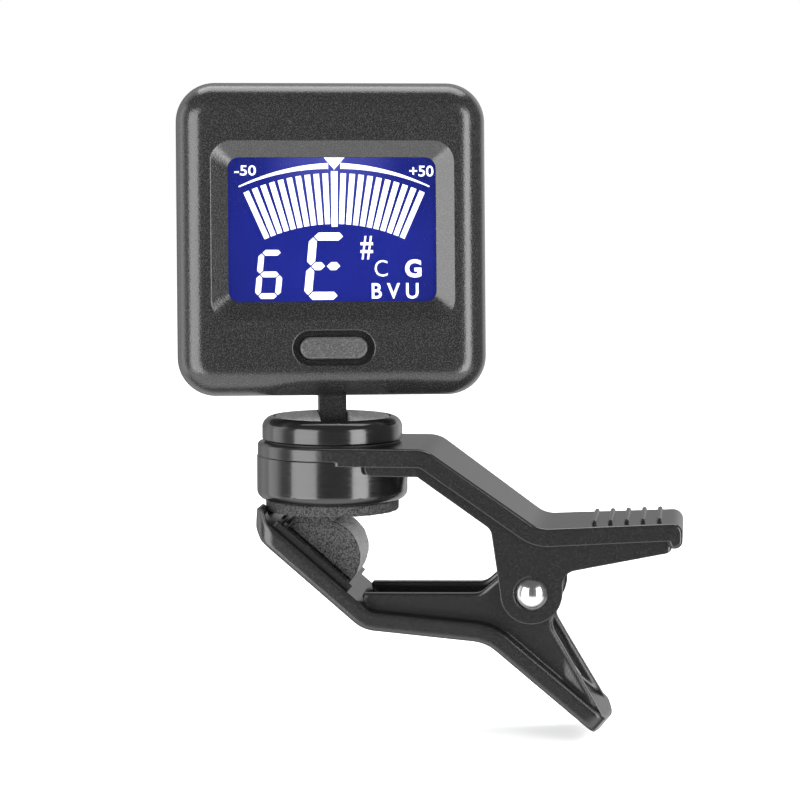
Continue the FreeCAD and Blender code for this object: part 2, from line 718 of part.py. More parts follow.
def coin_cell():
    can = back_rod(CELL_R, CELL_FRONT + 0.3, CELL_BACK, 0, CELL_Z)
    can = rounded_edges(can, 0.25, rim_at(CELL_BACK))
    return fuse_all([can, back_rod(CELL_R - 1.6, CELL_FRONT, CELL_FRONT + 0.4, 0, CELL_Z)])


def cell_holder():
    wall = back_rod(CELL_R + 1.9, BOARD_BACK, 3.1, 0, CELL_Z)
    wall = wall.cut(back_rod(CELL_R + 0.45, BOARD_BACK - 1, 4, 0, CELL_Z))
    return wall.cut(bar(0, CELL_R + 3, BOARD_BACK - 1, 4, CELL_Z - 3, CELL_Z + 3))


def contact_negative():
    return face_prism(7.0, 5.0, 0.5, CELL_Z, BOARD_BACK, CELL_FRONT)


def contact_positive():
    foot = bar(CELL_R + 0.1, CELL_R + 2.6, BOARD_BACK, BOARD_BACK + 0.3, CELL_Z - 2, CELL_Z + 2)
    blade = bar(CELL_R + 0.1, CELL_R + 0.4, BOARD_BACK, 2.9, CELL_Z - 2, CELL_Z + 2)
    return fuse_all([foot, blade])


def controller_chip():
    return face_prism(5.0, 5.0, 0.3, HEAD_CENTRE - 12.0, BOARD_BACK, BOARD_BACK + 0.9)


def piezo_disc():
    return back_rod(4.2, INNER_BACK - 0.25, INNER_BACK, 0, HEAD_CENTRE - 13.3)


def piezo_ceramic():
    return back_rod(3.0, INNER_BACK - 0.5, INNER_BACK - 0.25, 0, HEAD_CENTRE - 13.3)


def case_screw(x, z):
    head = back_rod(SCREW_HEAD_R, HEAD_BACK - 1.0, HEAD_BACK - 0.25, x, z)
    shaft = back_rod(SCREW_R, INNER_FRONT + 0.9, HEAD_BACK - 0.9, x, z)
    drive = bar(x - 1.0, x + 1.0, HEAD_BACK - 0.6, HEAD_BACK, z - 0.18, z + 0.18)
    cross = bar(x - 0.18, x + 0.18, HEAD_BACK - 0.6, HEAD_BACK, z - 1.0, z + 1.0)
    return fuse_all([head, shaft]).cut(drive).cut(cross)


# ---------------------------------------------------------------- lower jaw
def lower_line(distance):
    """Under line of the plate, moved up by a distance square to itself."""
    line = [LOWER_START] + [(x, z) for x, z, r in LOWER_BENDS] + [LOWER_END]
    points = offset_line(line, -distance)
    first_bend = LOWER_BENDS[0][2] - distance
    second_bend = LOWER_BENDS[1][2] + distance
    return [points[0], points[1] + (first_bend,), points[2] + (second_bend,), points[3]]


def slope_point(along, up):
    """A point on the nose slope: along it from the first bend, and square to it."""
    (x0, z0), (x1, z1) = LOWER_START, LOWER_BENDS[0][:2]
    length = math.hypot(x1 - x0, z1 - z0)
    dx = (x1 - x0) / length
    dz = (z1 - z0) / length
    return (x1 - dx * along - dz * up, z1 - dz * along + dx * up)


def lower_plan(start, end):
    front = [(start, -LOWER_HALF_WIDTH, NOSE_CORNER), (20.0, -LOWER_HALF_WIDTH, 40.0)]
    front.append((end, -LOWER_TAIL_HALF_WIDTH))
    return front + [(x, -y) + tuple(rest) for x, y, *rest in reversed(front)]


def tail_mould():
    """Block square to the tail of the plate, whose end is bowed in plan."""
    (x0, z0), (x1, z1) = LOWER_BENDS[1][:2], LOWER_END
    length = math.hypot(x1 - x0, z1 - z0)
    along = V((x1 - x0) / length, 0, (z1 - z0) / length)
    up = V(-along.z, 0, along.x)
    start = V(x1, 0, z1) - up * MOULD_REACH
    side = LOWER_TAIL_HALF_WIDTH
    front = [(-MOULD_REACH, -side - MOULD_MARGIN), (-TAIL_BOW, -side, TAIL_CORNER)]
    outline = front + [(0, 0, TAIL_BOW_R)] + [(s, -y) + tuple(rest) for s, y, *rest in reversed(front)]
    wire = rounded_wire(outline, lambda s, y: start + along * s + V(0, y, 0))
    return Part.Face(wire).extrude(up * 2 * MOULD_REACH)


def lower_plate():
    under = lower_line(0)
    inner = lower_line(PLATE_T)
    nose = [(NOSE_X + 0.95, NOSE_TOP, 0.35), (NOSE_X + 0.15, NOSE_TOP, 0.35), (NOSE_X - 0.1, -1.6, 1.5)]
    outline = [NOSE_ROOT + (1.6,)] + nose
    outline += [under[0] + (1.2,), under[1], under[2], under[3] + (1.1,)]
    outline += [inner[3] + (0.45,), inner[2], inner[1]]
    profile = side_prism(outline, DRUM_R)
    plan = lower_plan(NOSE_X - 0.15, LOWER_END[0] + PLATE_T)
    body = profile.common(plan_prism(plan, -30, 5))
    scoop = disc(PAD_R + 0.35, -0.35, 5)
    return body.cut(scoop)


def lower_side_walls():
    inner = lower_line(PLATE_T / 2)
    right_x = PIVOT_X + LOWER_EAR_R
    outline = [(4.53, LOWER_WALL_TOP, 0.3), (19.6, LOWER_WALL_TOP + 0.25, 2.0), (22.6, -7.2)]
    outline += [(PIVOT_X, PIVOT_Z + LOWER_EAR_R), (right_x, PIVOT_Z), (28.72, -13.9, 2.0)]
    outline += [TAIL_WALL_END + (0.4,), inner[3], inner[2], inner[1][:2], (4.9, -12.0)]
    profile = side_prism(outline, DRUM_R)
    profile = profile.fuse(cross_rod(LOWER_EAR_R, DRUM_R, PIVOT_X, PIVOT_Z))
    stations = [(3.0, LOWER_WALL_OUT), (PIVOT_X + SPREAD_START, LOWER_WALL_OUT), (36.0, TAIL_WALL_OUT)]
    front = [(x, -w) for x, w in stations]
    outer = plan_prism(front + [(x, w) for x, w in reversed(stations)], -30, 0)
    inside = [(x, w - LOWER_WALL_T) for x, w in stations]
    inside[0] = (2.0, inside[0][1])
    inside[2] = (36.5, inside[2][1])
    front_in = [(x, -w) for x, w in inside]
    hollow = plan_prism(front_in + [(x, w) for x, w in reversed(inside)], -30, 0)
    return profile.common(outer).cut(hollow)


def lower_jaw():
    body = fuse_all([lower_plate(), lower_side_walls()]).common(tail_mould())
    return body.cut(cross_rod(PIN_R + PIN_CLEARANCE, 12, PIVOT_X, PIVOT_Z))


def slope_block(start, end, low, high, half_width):
    """Block that lies on the nose slope between two stations and two heights."""
    corners = [slope_point(start, low), slope_point(start, high)]
    corners += [slope_point(end, high), slope_point(end, low)]
    return side_prism(corners, half_width)


def deck_plate():
    """Raised deck that carries the lower pad, with two small ribs at its upper end."""
    high = PLATE_T + DECK_T
    parts = [slope_block(DECK_START, DECK_END, PLATE_T, high, DECK_HALF_WIDTH)]
    for along in DECK_RIBS:
        end = along + DECK_RIB_W
        parts.append(slope_block(along, end, high - 0.2, high + DECK_RIB_H, DECK_HALF_WIDTH - 0.5))
    return fuse_all(parts)


def lower_pad():
    """Foam pad: a round face towards the jaw's mouth, a flat crest under the upper pad."""
    high = PLATE_T + DECK_T
    foot_end = slope_point(LOWER_PAD_START, high)
    foot_start = slope_point(LOWER_PAD_END, high)
    cx, cz = LOWER_PAD_CENTRE
    crest_left = (foot_start[0] + 1.0, -PAD_GAP, 0.5)
    shoulder = (cx + LOWER_PAD_R - 0.25, cz + 1.6, 2.5)
    outline = [foot_start, crest_left, (cx + 0.3, -PAD_GAP, 1.5), shoulder, foot_end]
    wedge = side_prism(outline, LOWER_PAD_HALF_WIDTH)
    below = slope_block(-6, 20, high - 12, high, DRUM_R)
    round_face = cross_rod(LOWER_PAD_R, LOWER_PAD_HALF_WIDTH, cx, cz)
    return fuse_all([wedge, round_face]).cut(below)


# ---------------------------------------------------------------- hinge and spring
def dome(radius, height, y, outward):
    """Shallow rivet head that bulges along Y."""
    sphere_r = (radius ** 2 + height ** 2) / (2 * height)
    ball = Part.makeSphere(sphere_r, V(PIVOT_X, y + outward * (height - sphere_r), PIVOT_Z))
    low = min(y, y + outward * height * 2)
    blank = Part.makeCylinder(radius, 2 * height, V(PIVOT_X, low, PIVOT_Z), V(0, 1, 0))
    return ball.common(blank)


def pivot_rivet():
    shank = cross_rod(PIN_R, RIVET_HALF_LENGTH, PIVOT_X, PIVOT_Z)
    return fuse_all([shank, dome(RIVET_HEAD_R, RIVET_HEAD_H, -RIVET_HALF_LENGTH, -1)])


def rivet_cap():
    return dome(RIVET_HEAD_R, RIVET_HEAD_H, RIVET_HALF_LENGTH, 1)


def tangent_angle(target, side):
    """Angle on the coil where a straight leg to the target leaves it."""
    dx = target[0] - PIVOT_X
    dz = target[1] - PIVOT_Z
    reach = math.hypot(dx, dz)
    return math.atan2(dz, dx) + side * math.acos(COIL_R / reach)


def coil_point(angle, y):
    return V(PIVOT_X + COIL_R * math.cos(angle), y, PIVOT_Z + COIL_R * math.sin(angle))


def spring_rod(start, end):
    return Part.makeCylinder(WIRE_R, (end - start).Length, start, end - start)


def coil_turns():
    """Turns between the two legs; opening the jaw winds the coil tighter."""
    begin = tangent_angle(LOWER_LEG_END, -1)
    finish = tangent_angle(UPPER_LEG_END, 1)
    return COIL_FULL_TURNS + (begin - finish) / (2 * math.pi)


def torsion_spring():
    """Coil round the rivet with the leg that pushes up the upper handle."""
    begin = tangent_angle(LOWER_LEG_END, -1)
    rise = COIL_PITCH * coil_turns()
    helix = Part.makeHelix(COIL_PITCH, rise, COIL_R, 0, True).Edges[0]
    top = helix.valueAt(helix.LastParameter)
    before = helix.valueAt(helix.LastParameter - 0.001 * (helix.LastParameter - helix.FirstParameter))
    heading = V(top.x - before.x, top.y - before.y, 0).normalize()
    reach = math.hypot(UPPER_LEG_END[0] - PIVOT_X, UPPER_LEG_END[1] - PIVOT_Z)
    leg = Part.makeLine(top, top + heading * math.sqrt(reach ** 2 - COIL_R ** 2))
    section = Part.Wire(Part.makeCircle(WIRE_R, V(COIL_R, 0, 0), V(0, 1, 0)))
    body = Part.Wire([helix, leg]).makePipeShell([section], True, True)
    body.rotate(V(0, 0, 0), V(1, 0, 0), 90)
    body.rotate(V(0, 0, 0), V(0, 1, 0), -math.degrees(begin))
    body.translate(V(PIVOT_X, COIL_FRONT + rise, PIVOT_Z))
    return body


def spring_lower_leg():
    """Other end of the spring, which turns with the lower jaw."""
    begin = tangent_angle(LOWER_LEG_END, -1)
    leg_y = COIL_FRONT + COIL_PITCH * coil_turns() + 2 * WIRE_R + LEG_GAP
    bend = Part.makeTorus(COIL_R, WIRE_R, V(0, 0, 0), V(0, 0, 1), -180, 180, LEG_BEND_ANGLE)
    bend.rotate(V(0, 0, 0), V(1, 0, 0), -90)
    bend.rotate(V(0, 0, 0), V(0, 1, 0), -math.degrees(begin))
    bend.translate(V(PIVOT_X, leg_y, PIVOT_Z))
    leg = spring_rod(coil_point(begin, leg_y), V(LOWER_LEG_END[0], leg_y, LOWER_LEG_END[1]))
    return fuse_all([leg, bend])


# ---------------------------------------------------------------- write the nodes
save("upper_jaw", upper_jaw())
save("pad_drum", pad_drum())
save("upper_pad", upper_pad())
save("lower_jaw", lower_jaw())
save("deck_plate", deck_plate())
save("lower_pad", lower_pad())
save("pivot_rivet", pivot_rivet())
save("rivet_cap", rivet_cap())

save("swivel_collar", in_swivel(swivel_collar()))
save("collar_cap_left", in_swivel(collar_cap(-1)))
save("collar_cap_right", in_swivel(collar_cap(1)))
save("tilt_pin", in_swivel(tilt_pin()))
save("retaining_plate", in_swivel(retaining_plate()))
save("retaining_screw", in_swivel(retaining_screw()))
save("friction_washer", friction_washer())
save("wave_washer", wave_washer())

save("neck_stem", in_head(neck_stem()))
save("front_case", in_head(front_case()))
save("rear_case", in_head(rear_case()))
save("display_window", in_head(display_window()))
save("display_glass", in_head(display_glass()))
save("backlight", in_head(backlight()))
save("contact_strip_upper", in_head(contact_strip(1)))
save("contact_strip_lower", in_head(contact_strip(-1)))
save("circuit_board", in_head(circuit_board()))
save("controller_chip", in_head(controller_chip()))
save("tact_switch", in_head(tact_switch()))
save("button_cap", in_head(button_cap()))
save("coin_cell", in_head(coin_cell()))
save("cell_holder", in_head(cell_holder()))
save("contact_negative", in_head(contact_negative()))
save("contact_positive", in_head(contact_positive()))
save("battery_cap", in_head(battery_cap()))
save("piezo_disc", in_head(piezo_disc()))
save("piezo_ceramic", in_head(piezo_ceramic()))
for number, (screw_x, screw_z) in enumerate(screw_places(), 1):
    save("case_screw_%d" % number, in_head(case_screw(screw_x, screw_z)))
save("spring_lower_leg", spring_lower_leg())
save("torsion_spring", torsion_spring())
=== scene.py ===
"""Looks for the clip-on tuner: materials, display graphics, foam pads, floor, light and camera."""

import json
import math

import bpy
import bmesh
from mathutils import Matrix, Vector, noise


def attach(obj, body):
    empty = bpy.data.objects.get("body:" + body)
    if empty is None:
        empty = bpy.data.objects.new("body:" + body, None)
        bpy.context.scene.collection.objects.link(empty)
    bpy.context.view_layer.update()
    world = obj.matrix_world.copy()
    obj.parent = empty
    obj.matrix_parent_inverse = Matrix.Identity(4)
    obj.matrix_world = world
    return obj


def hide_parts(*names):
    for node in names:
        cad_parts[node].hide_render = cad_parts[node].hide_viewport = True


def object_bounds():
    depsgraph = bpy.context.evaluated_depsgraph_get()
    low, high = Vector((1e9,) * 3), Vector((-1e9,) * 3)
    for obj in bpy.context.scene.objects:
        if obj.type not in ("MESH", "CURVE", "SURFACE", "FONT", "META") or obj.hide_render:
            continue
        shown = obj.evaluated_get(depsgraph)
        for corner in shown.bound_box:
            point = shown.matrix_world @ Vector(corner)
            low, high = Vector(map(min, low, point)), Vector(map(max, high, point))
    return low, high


MM = 0.001

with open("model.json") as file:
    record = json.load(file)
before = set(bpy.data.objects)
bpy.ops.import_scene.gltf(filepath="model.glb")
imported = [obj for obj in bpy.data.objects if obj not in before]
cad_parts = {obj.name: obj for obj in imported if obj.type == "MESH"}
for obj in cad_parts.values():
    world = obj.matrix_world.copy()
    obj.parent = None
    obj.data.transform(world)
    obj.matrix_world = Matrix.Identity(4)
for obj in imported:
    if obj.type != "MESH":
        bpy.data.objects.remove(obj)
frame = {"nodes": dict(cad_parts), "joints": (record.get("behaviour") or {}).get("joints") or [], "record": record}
cad_low, cad_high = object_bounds()
centre = (cad_low + cad_high) / 2
nodes = frame["nodes"]
joints = {j["name"]: j for j in frame["joints"]}


# ------------------------------------------------------------ head's own frame
# x to the right of the display, y into it, z up; measured from the tilt hinge, in millimetres.
head_x = Vector(joints["head_tilt"]["axis"]).normalized()
head_y = Vector(joints["button_press"]["axis"]).normalized()
head_z = head_x.cross(head_y).normalized()
head_origin = Vector(joints["head_tilt"]["pos_m"])
HEAD = Matrix.Translation(head_origin) @ Matrix((head_x, head_y, head_z)).transposed().to_4x4()


def in_head(x, y, z):
    return HEAD @ Vector((x * MM, y * MM, z * MM))


# ------------------------------------------------------------ node helpers
# Places of a colour mix node's sockets, whose names repeat for each kind of data.
MIX_FACTOR, MIX_A, MIX_B = 0, 6, 7
MIX_RESULT = 2
TRACE_SAMPLES = 8


def grey(value):
    """A colour with its alpha, from a single tone or from three or four numbers."""
    if isinstance(value, (int, float)):
        return (value, value, value, 1.0)
    return tuple(value) + (1.0,) if len(value) == 3 else tuple(value)


def toned(colour, factor):
    return tuple(factor * c for c in grey(colour)[:3])


class Shader:
    """A Principled material and short calls to wire nodes into it."""

    def __init__(self, name):
        self.mat = bpy.data.materials.new(name)
        self.mat.use_nodes = True
        self.tree = self.mat.node_tree
        self.bsdf = self.tree.nodes["Principled BSDF"]
        self.coords = self.node("ShaderNodeTexCoord").outputs["Object"]

    def node(self, kind, **settings):
        made = self.tree.nodes.new(kind)
        for key, value in settings.items():
            setattr(made, key, value)
        return made

    def link(self, a, b):
        self.tree.links.new(a, b)

    def set(self, **values):
        for key, value in values.items():
            self.bsdf.inputs[key.replace("_", " ")].default_value = value
        return self

    def noise(self, scale, detail=2.0, rough=0.5, stretch=None):
        made = self.node("ShaderNodeTexNoise")
        made.inputs["Scale"].default_value = scale
        made.inputs["Detail"].default_value = detail
        made.inputs["Roughness"].default_value = rough
        source = self.coords
        if stretch:
            mapping = self.node("ShaderNodeMapping")
            mapping.inputs["Scale"].default_value = stretch
            self.link(self.coords, mapping.inputs["Vector"])
            source = mapping.outputs["Vector"]
        self.link(source, made.inputs["Vector"])
        return made.outputs["Fac"]

    def cells(self, scale, feature="F1"):
        made = self.node("ShaderNodeTexVoronoi", feature=feature)
        made.inputs["Scale"].default_value = scale
        self.link(self.coords, made.inputs["Vector"])
        return made.outputs["Distance"]

    def distance(self, middle, stretch):
        """Distance from a point of the object's own box, with each direction weighted."""
        apart = self.node("ShaderNodeVectorMath", operation="SUBTRACT")
        self.link(self.node("ShaderNodeTexCoord").outputs["Generated"], apart.inputs[0])
        apart.inputs[1].default_value = middle
        weighted = self.node("ShaderNodeVectorMath", operation="MULTIPLY")
        self.link(apart.outputs["Vector"], weighted.inputs[0])
        weighted.inputs[1].default_value = stretch
        length = self.node("ShaderNodeVectorMath", operation="LENGTH")
        self.link(weighted.outputs["Vector"], length.inputs[0])
        return length.outputs["Value"]

    def ramp(self, value, stops, smooth=False):
        made = self.node("ShaderNodeValToRGB")
        made.color_ramp.interpolation = "EASE" if smooth else "LINEAR"
        elements = made.color_ramp.elements
        elements[0].position, elements[0].color = stops[0][0], grey(stops[0][1])
        elements[1].position, elements[1].color = stops[-1][0], grey(stops[-1][1])
        for place, colour in stops[1:-1]:
            elements.new(place).color = grey(colour)
        self.link(value, made.inputs["Fac"])
        return made.outputs["Color"]

    def spread(self, value, low, high, from_low=0.0, from_high=1.0):
        made = self.node("ShaderNodeMapRange")
        made.inputs["From Min"].default_value = from_low
        made.inputs["From Max"].default_value = from_high
        made.inputs["To Min"].default_value = low
        made.inputs["To Max"].default_value = high
        self.link(value, made.inputs["Value"])
        return made.outputs["Result"]

    def blend(self, factor, a, b):
        """From colour a to colour b as the factor goes from 0 to 1."""
        made = self.node("ShaderNodeMix", data_type="RGBA")
        self.link(factor, made.inputs[MIX_FACTOR])
        for index, value in ((MIX_A, a), (MIX_B, b)):
            if isinstance(value, bpy.types.NodeSocket):
                self.link(value, made.inputs[index])
            else:
                made.inputs[index].default_value = grey(value)
        return made.outputs[MIX_RESULT]

    def add(self, a, b, weight):
        """a plus the weighted b."""
        made = self.node("ShaderNodeMath", operation="MULTIPLY_ADD")
        self.link(b, made.inputs[0])
        made.inputs[1].default_value = weight
        self.link(a, made.inputs[2])
        return made.outputs[0]

    def bump(self, height, depth_mm, strength=1.0, edge_mm=0.0):
        """Relief from a height; with an edge radius, sharp edges shade as if rounded."""
        made = self.node("ShaderNodeBump")
        if edge_mm:
            edge = self.node("ShaderNodeBevel", samples=TRACE_SAMPLES)
            edge.inputs["Radius"].default_value = edge_mm * MM
            self.link(edge.outputs["Normal"], made.inputs["Normal"])
        made.inputs["Distance"].default_value = depth_mm * MM
        made.inputs["Strength"].default_value = strength
        self.link(height, made.inputs["Height"])
        self.link(made.outputs["Normal"], self.bsdf.inputs["Normal"])
        return self

    def colour(self, value):
        self.link(value, self.bsdf.inputs["Base Color"])
        return self

    def rough(self, value):
        self.link(value, self.bsdf.inputs["Roughness"])
        return self

    def glow(self, value):
        self.link(value, self.bsdf.inputs["Emission Color"])
        return self


# ------------------------------------------------------------ materials
# Scales of noise and cells are per metre; depths and edge radii are in millimetres.
# Painted shade: an occlusion node darkens crevices within this reach, in millimetres, towards this tone.
CREVICE_SHADE_REACH = 0.7
CREVICE_SHADE_TONE = 0.0005


def speckled_plastic(name, base, fleck, grain, depth, rough_low, rough_high, edge):
    """Moulded plastic with a spark-eroded texture: fine pits, pale flecks, slow variation; crevices painted dark
    as shade.
    """
    s = Shader(name)
    fine = s.noise(grain, 3.0, 0.6)
    pits = s.cells(grain * 0.7)
    slow = s.noise(90.0)
    flecks = s.ramp(s.noise(grain * 1.1, 3.0, 0.6), [(0.46, 0.0), (0.72, 1.0)])
    body = s.blend(slow, base, toned(base, 1.25))
    # Painted shade: the base colour turns dark in crevices and between parts.
    crevice = s.node("ShaderNodeAmbientOcclusion", samples=TRACE_SAMPLES)
    crevice.inputs["Distance"].default_value = CREVICE_SHADE_REACH * MM
    shade = s.spread(crevice.outputs["AO"], 1.0, 0.0, 0.15, 0.6)
    s.colour(s.blend(shade, s.blend(flecks, body, fleck), CREVICE_SHADE_TONE))
    s.rough(s.spread(fine, rough_low, rough_high, 0.3, 0.7))
    return s.bump(s.add(fine, pits, 0.8), depth, 1.0, edge).set(IOR=1.5)


def gloss_plastic(name, base, rough):
    """Polished plastic with the faintest moulding ripple and hairline marks."""
    s = Shader(name)
    slow = s.noise(110.0)
    hair = s.noise(420.0, 4.0, 0.7, (1.0, 1.0, 9.0))
    s.colour(s.blend(slow, base, toned(base, 1.4)))
    s.rough(s.spread(hair, rough, rough * 2.2, 0.35, 0.75))
    return s.bump(slow, 0.006, 0.6, 0.12).set(IOR=1.47, Coat_Weight=0.15, Coat_Roughness=0.06)


def painted_lit_side(s, tone, mix, side_light):
    """Painted light: the side faces are painted paler as if lit, with a dark rim between them and the flat faces.
    """
    across = s.node("ShaderNodeSeparateXYZ")
    s.link(s.node("ShaderNodeTexCoord").outputs["Normal"], across.inputs["Vector"])
    flat = s.node("ShaderNodeMath", operation="ABSOLUTE")
    s.link(across.outputs["Y"], flat.inputs[0])
    side = s.ramp(mix, [(0.4, side_light * 0.4), (0.95, side_light)])
    tone = s.blend(s.spread(flat.outputs[0], 1.0, 0.0, 0.3, 0.45), tone, side)
    rim = s.ramp(flat.outputs[0], [(0.35, 0.0), (0.55, 0.8), (0.8, 0.8), (0.93, 0.0)])
    return s.blend(rim, tone, 0.001)


def foam(name, dark, light, side_light=None):
    """Closed-cell foam: matt, with cut cells of mixed size."""
    s = Shader(name)
    big = s.cells(2600.0)
    small = s.cells(6200.0)
    grain = s.noise(3200.0, 4.0, 0.7)
    slow = s.noise(260.0, 3.0)
    mix = s.add(grain, small, 0.6)
    tone = s.ramp(mix, [(0.6, dark), (0.92, light)])
    # With side_light, the side faces get painted light.
    if side_light:
        tone = painted_lit_side(s, tone, mix, side_light)
    s.colour(s.blend(s.spread(slow, 0.0, 0.35), tone, dark))
    s.rough(s.spread(grain, 0.82, 0.98))
    s.bump(s.add(mix, big, 0.9), 0.16)
    return s.set(Specular_IOR_Level=0.15, Sheen_Weight=0.05, Sheen_Roughness=0.5)


def metal(name, tone, rough_low, rough_high, stretch, depth=0.004):
    """Bare metal; a stretch above 1 packs its fine lines closer along that direction."""
    s = Shader(name)
    lines = s.noise(900.0, 4.0, 0.6, stretch)
    slow = s.noise(200.0)
    s.colour(s.blend(slow, tone, toned(tone, 0.86)))
    s.rough(s.spread(lines, rough_low, rough_high, 0.3, 0.7))
    return s.bump(lines, depth, 0.6).set(Metallic=1.0)


def plain_grain(name, tone, rough):
    """A small inner part: one tone with a fine even grain."""
    s = Shader(name)
    fine = s.noise(2500.0, 3.0)
    slow = s.noise(150.0)
    s.colour(s.blend(slow, tone, toned(tone, 0.8)))
    s.rough(s.spread(fine, rough * 0.85, rough * 1.15))
    return s.bump(fine, 0.01)


def display_blue():
    """Backlit blue panel: violet haze at the top middle, deeper blue towards the edges."""
    s = Shader("display_blue")
    haze = s.noise(75.0)
    low = s.blend(haze, (0.001, 0.007, 0.18), (0.005, 0.013, 0.25))
    edge = s.ramp(s.distance((0.5, 0.5, 0.42), (1.15, 0.0, 1.0)), [(0.25, 0.0), (0.7, 1.0)], True)
    tone = s.blend(edge, low, (0.001, 0.006, 0.13))
    from_lamp = s.distance((0.5, 0.5, 0.93), (1.3, 0.0, 1.0))
    lamp = s.ramp(from_lamp, [(0.0, 0.75), (0.12, 0.45), (0.42, 0.0)], True)
    s.glow(s.blend(lamp, tone, (0.11, 0.12, 0.5)))
    s.colour(s.blend(haze, (0.002, 0.004, 0.05), (0.004, 0.006, 0.08)))
    return s.set(Emission_Strength=1.0, Roughness=0.25, Specular_IOR_Level=0.15)


def lit_mark():
    """The display's lit marks: white with a touch of the panel's blue."""
    s = Shader("display_mark")
    haze = s.noise(300.0)
    s.glow(s.blend(haze, (0.66, 0.72, 0.95), (0.86, 0.9, 1.0)))
    s.colour(s.blend(haze, 0.7, 0.8))
    return s.set(Emission_Strength=1.0, Roughness=0.5)


def clear_window():
    """Clear sheet with a faint smear on its polish."""
    s = Shader("clear_window")
    film = s.noise(260.0, 3.0, 0.6)
    s.rough(s.spread(film, 0.0, 0.03))
    s.colour(s.blend(film, 0.97, 1.0))
    return s.set(Transmission_Weight=1.0, IOR=1.3, Specular_IOR_Level=0.15)


def board():
    """Green circuit board with a net of raised tracks."""
    s = Shader("board_green")
    tracks = s.cells(900.0, "DISTANCE_TO_EDGE")
    line = s.ramp(tracks, [(0.02, 1.0), (0.05, 0.0)])
    s.colour(s.blend(line, (0.01, 0.09, 0.03), (0.02, 0.15, 0.05)))
    s.rough(s.spread(s.noise(800.0), 0.3, 0.45))
    return s.bump(line, 0.02)


looks = {
    "case_plastic": speckled_plastic("case_plastic", base=0.006, fleck=0.03, grain=5600.0, depth=0.009,
                                     rough_low=0.15, rough_high=0.25, edge=0.06),
    "jaw_plastic": speckled_plastic("jaw_plastic", base=0.005, fleck=0.017, grain=5600.0, depth=0.004,
                                    rough_low=0.13, rough_high=0.21, edge=0.22),
    "deck_plastic": speckled_plastic("deck_plastic", base=0.004, fleck=0.014, grain=5600.0, depth=0.004,
                                     rough_low=0.13, rough_high=0.19, edge=0.1),
    "button_grey": speckled_plastic("button_grey", base=0.02, fleck=0.09, grain=4600.0, depth=0.01,
                                    rough_low=0.34, rough_high=0.46, edge=0.07),
    "gloss_black": gloss_plastic("gloss_black", 0.004, 0.12),
    "satin_insert": speckled_plastic("satin_insert", base=0.14, fleck=0.5, grain=2700.0, depth=0.03,
                                     rough_low=0.32, rough_high=0.45, edge=0.05),
    "foam": foam("foam", 0.002, 0.07),
    "chrome_metal": metal("chrome_metal", 0.6, 0.15, 0.21, (1.0, 1.0, 1.0), depth=0.001),
    "pin_steel": metal("pin_steel", 0.5, 0.22, 0.34, (8.0, 1.0, 1.0)),
    "spring_steel": metal("spring_steel", 0.62, 0.18, 0.3, (1.0, 9.0, 1.0)),
    "nylon": plain_grain("nylon", 0.015, 0.5),
    "clear_window": clear_window(),
    "display_blue": display_blue(),
    "diffuser_white": plain_grain("diffuser_white", (0.75, 0.77, 0.82), 0.6),
    "contact_rubber": plain_grain("contact_rubber", (0.4, 0.34, 0.34), 0.7),
    "board_green": board(),
    "chip_black": plain_grain("chip_black", 0.012, 0.5),
    "switch_metal": metal("switch_metal", 0.6, 0.25, 0.35, (6.0, 1.0, 1.0)),
    "cell_steel": metal("cell_steel", 0.7, 0.16, 0.26, (7.0, 1.0, 1.0)),
    "holder_plastic": plain_grain("holder_plastic", 0.03, 0.45),
    "contact_brass": metal("contact_brass", (0.78, 0.58, 0.28), 0.2, 0.32, (5.0, 1.0, 1.0)),
    "ceramic_white": plain_grain("ceramic_white", (0.78, 0.76, 0.7), 0.4),
}

# The lower jaw's rail has softer edges than the other mouldings of the same plastic.
rail_look = speckled_plastic("jaw_rail", base=0.005, fleck=0.017, grain=5600.0, depth=0.004,
                             rough_low=0.15, rough_high=0.24, edge=0.95)

for part in frame["record"]["subparts"]:
    shown = nodes[part["node"]]
    look = rail_look if part["node"] == "lower_jaw" else looks[part["material_slot"]]
    shown.data.materials.clear()
    shown.data.materials.append(look.mat)


# ------------------------------------------------------------ display graphics
# Lengths are in millimetres in the head's own frame. The scale's bars and arc fan out from a
# point under the display.
DISPLAY_MID_X = 0.3
DISPLAY_MID_Z = 25.84
MARK_FRONT = -3.385
MARK_BACK = -3.36

FAN_DROP = 21.1
FAN_CENTRE = (DISPLAY_MID_X, DISPLAY_MID_Z - FAN_DROP)
BARS_EACH_SIDE = 10
BAR_STEP = math.radians(2.37)
BAR_WIDTH = 0.72
BAR_INNER = 21.55
BAR_OUTER = 28.05
MIDDLE_BAR_WIDTH = 0.86
MIDDLE_BAR_INNER = 21.2
MIDDLE_BAR_OUTER = 28.3
# Half a bar's width at its foot and at its top, as parts of its full width.
HALF_AT_INNER = 0.46
HALF_AT_OUTER = 0.5

ARC_START = math.radians(1.55)
ARC_END = math.radians(24.9)
ARC_STEPS = 24
ARC_OUTER = 29.35
ARC_OUTER_FALL = 0.25
ARC_INNER = 28.6
ARC_INNER_RISE = 0.33

POINTER_HALF_WIDTH = 1.34
# Heights over the display's middle.
POINTER_TOP = 8.95
POINTER_TIP = 7.4

FIGURE_SLANT = 0.1
SEGMENT_GAP = 0.12
TEXT_CURVE_STEPS = 4

marks_look = lit_mark()


def lit_piece(name, mesh):
    """A mesh of lit marks as a piece that rides on the head."""
    mesh.materials.clear()
    mesh.materials.append(marks_look.mat)
    made = bpy.data.objects.new(name, mesh)
    bpy.context.scene.collection.objects.link(made)
    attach(made, "head")


